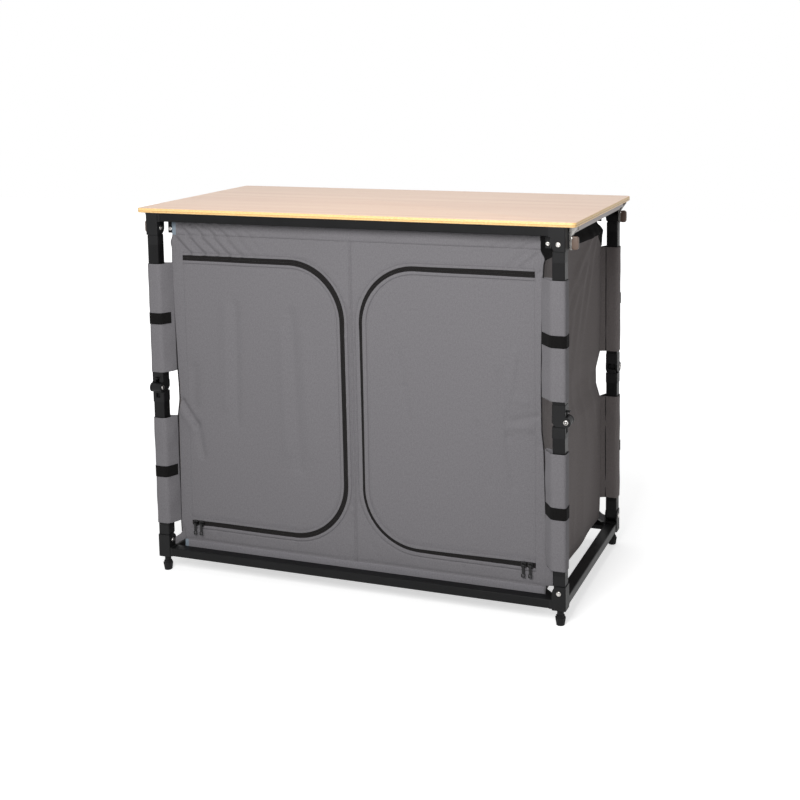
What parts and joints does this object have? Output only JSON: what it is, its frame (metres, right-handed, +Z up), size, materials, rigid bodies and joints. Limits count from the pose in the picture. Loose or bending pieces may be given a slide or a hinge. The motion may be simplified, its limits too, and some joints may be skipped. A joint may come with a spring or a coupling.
{
  "type": "camping kitchen unit",
  "caption": "folding camp kitchen: bamboo worktop on a square-tube frame with knee-jointed legs, over a hung cloth cabinet with zip-up doors",
  "frame": {"origin": "on the floor under the middle of the worktop", "axes": "X along the worktop, -Y to the front where the doors are, Z up"},
  "size_m": [0.96, 0.499, 0.8],
  "materials": {
    "bamboo": "laminated bamboo, satin lacquer, fine grain along the length, ply stripes on its edges",
    "black_tube": "satin black powder coat on steel tube",
    "black_moulding": "matt black moulded nylon",
    "bright_rivet": "plain bright steel",
    "foot_rubber": "matt black",
    "grey_cloth": "woven polyester, plain weave, matt",
    "door_cloth": "the same woven polyester, with black zip tape at the rim",
    "strap_cloth": "woven polyester with a black hook-and-loop strap",
    "board": "black covered board",
    "aluminium_batten": "plain extruded aluminium",
    "clip_steel": "bright zinc plate",
    "clip_lever": "dark brown moulding",
    "zip_metal": "dark nickel"
  },
  "bodies": {
    "base": {"base_rails": "black_tube", "base_corners": "black_moulding", "base_pins": "bright_rivet", "floor_board": "board", "cabinet_walls": "grey_cloth", "front_surround": "grey_cloth", "inner_shelves": "grey_cloth"},
    "top_frame": {"top_rails": "black_tube", "top_corners": "black_moulding", "top_pins": "bright_rivet", "cabinet_hangers": "black_moulding"},
    "worktop": {"worktop": "bamboo", "worktop_battens": "aluminium_batten", "clip_brackets": "clip_steel"},
    "foot_fl": {"foot_fl": "foot_rubber"},
    "lower_leg_fl": {"lower_tube_fl": "black_tube", "lower_fittings_fl": "black_moulding", "lower_wrap_fl": "strap_cloth"},
    "upper_leg_fl": {"upper_tube_fl": "black_tube", "upper_fittings_fl": "black_moulding", "upper_wrap_fl": "strap_cloth"},
    "knee_latch_fl": {"knee_latch_fl": "black_moulding"},
    "clip_lever_fl": {"clip_lever_fl": "clip_lever"},
    "foot_bl": {"foot_bl": "foot_rubber"},
    "lower_leg_bl": {"lower_tube_bl": "black_tube", "lower_fittings_bl": "black_moulding", "lower_wrap_bl": "strap_cloth"},
    "upper_leg_bl": {"upper_tube_bl": "black_tube", "upper_fittings_bl": "black_moulding", "upper_wrap_bl": "strap_cloth"},
    "knee_latch_bl": {"knee_latch_bl": "black_moulding"},
    "clip_lever_bl": {"clip_lever_bl": "clip_lever"},
    "foot_br": {"foot_br": "foot_rubber"},
    "lower_leg_br": {"lower_tube_br": "black_tube", "lower_fittings_br": "black_moulding", "lower_wrap_br": "strap_cloth"},
    "upper_leg_br": {"upper_tube_br": "black_tube", "upper_fittings_br": "black_moulding", "upper_wrap_br": "strap_cloth"},
    "knee_latch_br": {"knee_latch_br": "black_moulding"},
    "clip_lever_br": {"clip_lever_br": "clip_lever"},
    "foot_fr": {"foot_fr": "foot_rubber"},
    "lower_leg_fr": {"lower_tube_fr": "black_tube", "lower_fittings_fr": "black_moulding", "lower_wrap_fr": "strap_cloth"},
    "upper_leg_fr": {"upper_tube_fr": "black_tube", "upper_fittings_fr": "black_moulding", "upper_wrap_fr": "strap_cloth"},
    "knee_latch_fr": {"knee_latch_fr": "black_moulding"},
    "clip_lever_fr": {"clip_lever_fr": "clip_lever"},
    "door_left": {"door_left": "door_cloth"},
    "slider_left_inner": {"slider_left_inner": "zip_metal"},
    "puller_left_inner": {"puller_left_inner": "zip_metal"},
    "slider_left_outer": {"slider_left_outer": "zip_metal"},
    "puller_left_outer": {"puller_left_outer": "zip_metal"},
    "door_right": {"door_right": "door_cloth"},
    "slider_right_inner": {"slider_right_inner": "zip_metal"},
    "puller_right_inner": {"puller_right_inner": "zip_metal"},
    "slider_right_outer": {"slider_right_outer": "zip_metal"},
    "puller_right_outer": {"puller_right_outer": "zip_metal"}
  },
  "joints": [
    {"name": "frame_fold", "type": "hinge", "parent": "base", "child": "lower_leg_fl", "pos_m": [-0.445, -0.225, 0.068], "axis": [-1, 0, 0], "range_deg": [0, 90], "deforming": ["cabinet_walls", "front_surround", "door_left", "door_right", "inner_shelves", "slider_left_inner", "slider_left_outer", "slider_right_inner", "slider_right_outer", "puller_left_inner", "puller_left_outer", "puller_right_inner", "puller_right_outer"]},
    {"name": "knee_fl", "type": "hinge", "parent": "lower_leg_fl", "child": "upper_leg_fl", "pos_m": [-0.445, -0.2395, 0.4125], "axis": [-1, 0, 0], "range_deg": [-180, 0]},
    {"name": "top_pivot_fl", "type": "hinge", "parent": "upper_leg_fl", "child": "top_frame", "pos_m": [-0.445, -0.225, 0.757], "axis": [-1, 0, 0], "range_deg": [0, 90]},
    {"name": "knee_latch_fl", "type": "hinge", "parent": "upper_leg_fl", "child": "knee_latch_fl", "pos_m": [-0.445, -0.222, 0.4295], "axis": [1, 0, 0], "range_deg": [0, 10], "stiffness_Nm_per_rad": 0.05, "springref_deg": -11.46},
    {"name": "foot_height_fl", "type": "slide", "parent": "base", "child": "foot_fl", "axis": [0, 0, -1], "range_m": [0, 0.012]},
    {"name": "clip_swing_fl", "type": "hinge", "parent": "worktop", "child": "clip_lever_fl", "pos_m": [-0.4646, -0.21, 0.767], "axis": [0, 1, 0], "range_deg": [0, 90]},
    {"name": "base_pivot_bl", "type": "hinge", "parent": "base", "child": "lower_leg_bl", "pos_m": [-0.445, 0.225, 0.068], "axis": [0, 1, 0], "range_deg": [0, 90]},
    {"name": "knee_bl", "type": "hinge", "parent": "lower_leg_bl", "child": "upper_leg_bl", "pos_m": [-0.4595, 0.225, 0.4125], "axis": [0, 1, 0], "range_deg": [-180, 0]},
    {"name": "knee_latch_bl", "type": "hinge", "parent": "upper_leg_bl", "child": "knee_latch_bl", "pos_m": [-0.442, 0.225, 0.4295], "axis": [0, -1, 0], "range_deg": [0, 10], "stiffness_Nm_per_rad": 0.05, "springref_deg": -11.46},
    {"name": "foot_height_bl", "type": "slide", "parent": "base", "child": "foot_bl", "axis": [0, 0, -1], "range_m": [0, 0.012]},
    {"name": "clip_swing_bl", "type": "hinge", "parent": "worktop", "child": "clip_lever_bl", "pos_m": [-0.4646, 0.21, 0.767], "axis": [0, 1, 0], "range_deg": [0, 90]},
    {"name": "base_pivot_br", "type": "hinge", "parent": "base", "child": "lower_leg_br", "pos_m": [0.445, 0.225, 0.068], "axis": [1, 0, 0], "range_deg": [0, 90]},
    {"name": "knee_br", "type": "hinge", "parent": "lower_leg_br", "child": "upper_leg_br", "pos_m": [0.445, 0.2395, 0.4125], "axis": [1, 0, 0], "range_deg": [-180, 0]},
    {"name": "knee_latch_br", "type": "hinge", "parent": "upper_leg_br", "child": "knee_latch_br", "pos_m": [0.445, 0.222, 0.4295], "axis": [-1, 0, 0], "range_deg": [0, 10], "stiffness_Nm_per_rad": 0.05, "springref_deg": -11.46},
    {"name": "foot_height_br", "type": "slide", "parent": "base", "child": "foot_br", "axis": [0, 0, -1], "range_m": [0, 0.012]},
    {"name": "clip_swing_br", "type": "hinge", "parent": "worktop", "child": "clip_lever_br", "pos_m": [0.4646, 0.21, 0.767], "axis": [0, -1, 0], "range_deg": [0, 90]},
    {"name": "base_pivot_fr", "type": "hinge", "parent": "base", "child": "lower_leg_fr", "pos_m": [0.445, -0.225, 0.068], "axis": [0, -1, 0], "range_deg": [0, 90]},
    {"name": "knee_fr", "type": "hinge", "parent": "lower_leg_fr", "child": "upper_leg_fr", "pos_m": [0.4595, -0.225, 0.4125], "axis": [0, -1, 0], "range_deg": [-180, 0]},
    {"name": "knee_latch_fr", "type": "hinge", "parent": "upper_leg_fr", "child": "knee_latch_fr", "pos_m": [0.442, -0.225, 0.4295], "axis": [0, 1, 0], "range_deg": [0, 10], "stiffness_Nm_per_rad": 0.05, "springref_deg": -11.46},
    {"name": "foot_height_fr", "type": "slide", "parent": "base", "child": "foot_fr", "axis": [0, 0, -1], "range_m": [0, 0.012]},
    {"name": "clip_swing_fr", "type": "hinge", "parent": "worktop", "child": "clip_lever_fr", "pos_m": [0.4646, -0.21, 0.767], "axis": [0, -1, 0], "range_deg": [0, 90]},
    {"name": "worktop_lift", "type": "slide", "parent": "top_frame", "child": "worktop", "axis": [0, 0, 1], "range_m": [0, 0.08]},
    {"name": "door_left_open", "type": "hinge", "parent": "base", "child": "door_left", "pos_m": [-0.3903, -0.2089, 0.3995], "axis": [0, 0, 1], "range_deg": [-110, 0]},
    {"name": "zip_left_inner", "type": "slide", "parent": "door_left", "child": "slider_left_inner", "axis": [1, 0, 0], "range_m": [0, 0.23]},
    {"name": "zip_left_outer", "type": "slide", "parent": "door_left", "child": "slider_left_outer", "axis": [-1, 0, 0], "range_m": [0, 0.003]},
    {"name": "puller_left_inner_swing", "type": "hinge", "parent": "slider_left_inner", "child": "puller_left_inner", "pos_m": [-0.3655, -0.2145, 0.107], "axis": [-1, 0, 0], "range_deg": [0, 120]},
    {"name": "puller_left_outer_swing", "type": "hinge", "parent": "slider_left_outer", "child": "puller_left_outer", "pos_m": [-0.38, -0.2145, 0.107], "axis": [-1, 0, 0], "range_deg": [0, 120]},
    {"name": "door_right_open", "type": "hinge", "parent": "base", "child": "door_right", "pos_m": [0.3903, -0.2089, 0.3995], "axis": [0, 0, -1], "range_deg": [-110, 0]},
    {"name": "zip_right_inner", "type": "slide", "parent": "door_right", "child": "slider_right_inner", "axis": [-1, 0, 0], "range_m": [0, 0.23]},
    {"name": "zip_right_outer", "type": "slide", "parent": "door_right", "child": "slider_right_outer", "axis": [1, 0, 0], "range_m": [0, 0.003]},
    {"name": "puller_right_inner_swing", "type": "hinge", "parent": "slider_right_inner", "child": "puller_right_inner", "pos_m": [0.3655, -0.2145, 0.107], "axis": [-1, 0, 0], "range_deg": [0, 120]},
    {"name": "puller_right_outer_swing", "type": "hinge", "parent": "slider_right_outer", "child": "puller_right_outer", "pos_m": [0.38, -0.2145, 0.107], "axis": [-1, 0, 0], "range_deg": [0, 120]}
  ],
  "couplings": [
    {"joint": "knee_fl", "follows": "frame_fold", "ratio": -2},
    {"joint": "top_pivot_fl", "follows": "frame_fold", "ratio": 1},
    {"joint": "base_pivot_bl", "follows": "frame_fold", "ratio": 1},
    {"joint": "knee_bl", "follows": "frame_fold", "ratio": -2},
    {"joint": "base_pivot_br", "follows": "frame_fold", "ratio": 1},
    {"joint": "knee_br", "follows": "frame_fold", "ratio": -2},
    {"joint": "base_pivot_fr", "follows": "frame_fold", "ratio": 1},
    {"joint": "knee_fr", "follows": "frame_fold", "ratio": -2}
  ]
}
